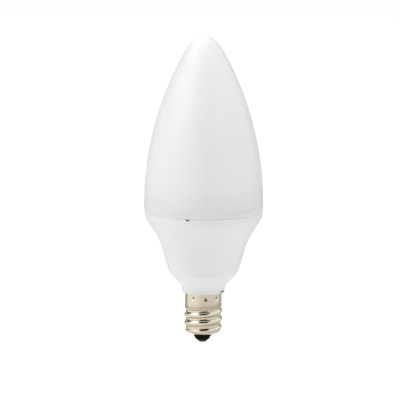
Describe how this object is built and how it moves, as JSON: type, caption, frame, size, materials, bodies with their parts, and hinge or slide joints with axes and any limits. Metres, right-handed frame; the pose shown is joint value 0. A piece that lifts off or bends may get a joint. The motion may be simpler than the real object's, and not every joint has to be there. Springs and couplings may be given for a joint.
{
  "type": "candle bulb",
  "caption": "Candle-shaped lamp with an opal pointed globe on a white tapered housing, a small screw cap with a rolled thread, a black insulator and a blunt centre contact.",
  "frame": {"origin": "lowest point of the centre contact, on the lamp's axis", "axes": "+Z along the axis from the centre contact to the globe's tip, -Y towards the viewer of the picture"},
  "size_m": [0.037, 0.037, 0.096],
  "materials": {
    "opal_plastic": "opal, fine satin",
    "white_plastic": "moulded satin",
    "nickel_plate": "bright nickel plate",
    "black_insulator": "glossy",
    "contact_metal": "dull nickel plate"
  },
  "bodies": {
    "root": {"globe": "opal_plastic", "housing": "white_plastic", "screw_shell": "nickel_plate", "base_insulator": "black_insulator", "centre_contact": "contact_metal"}
  },
  "joints": []
}
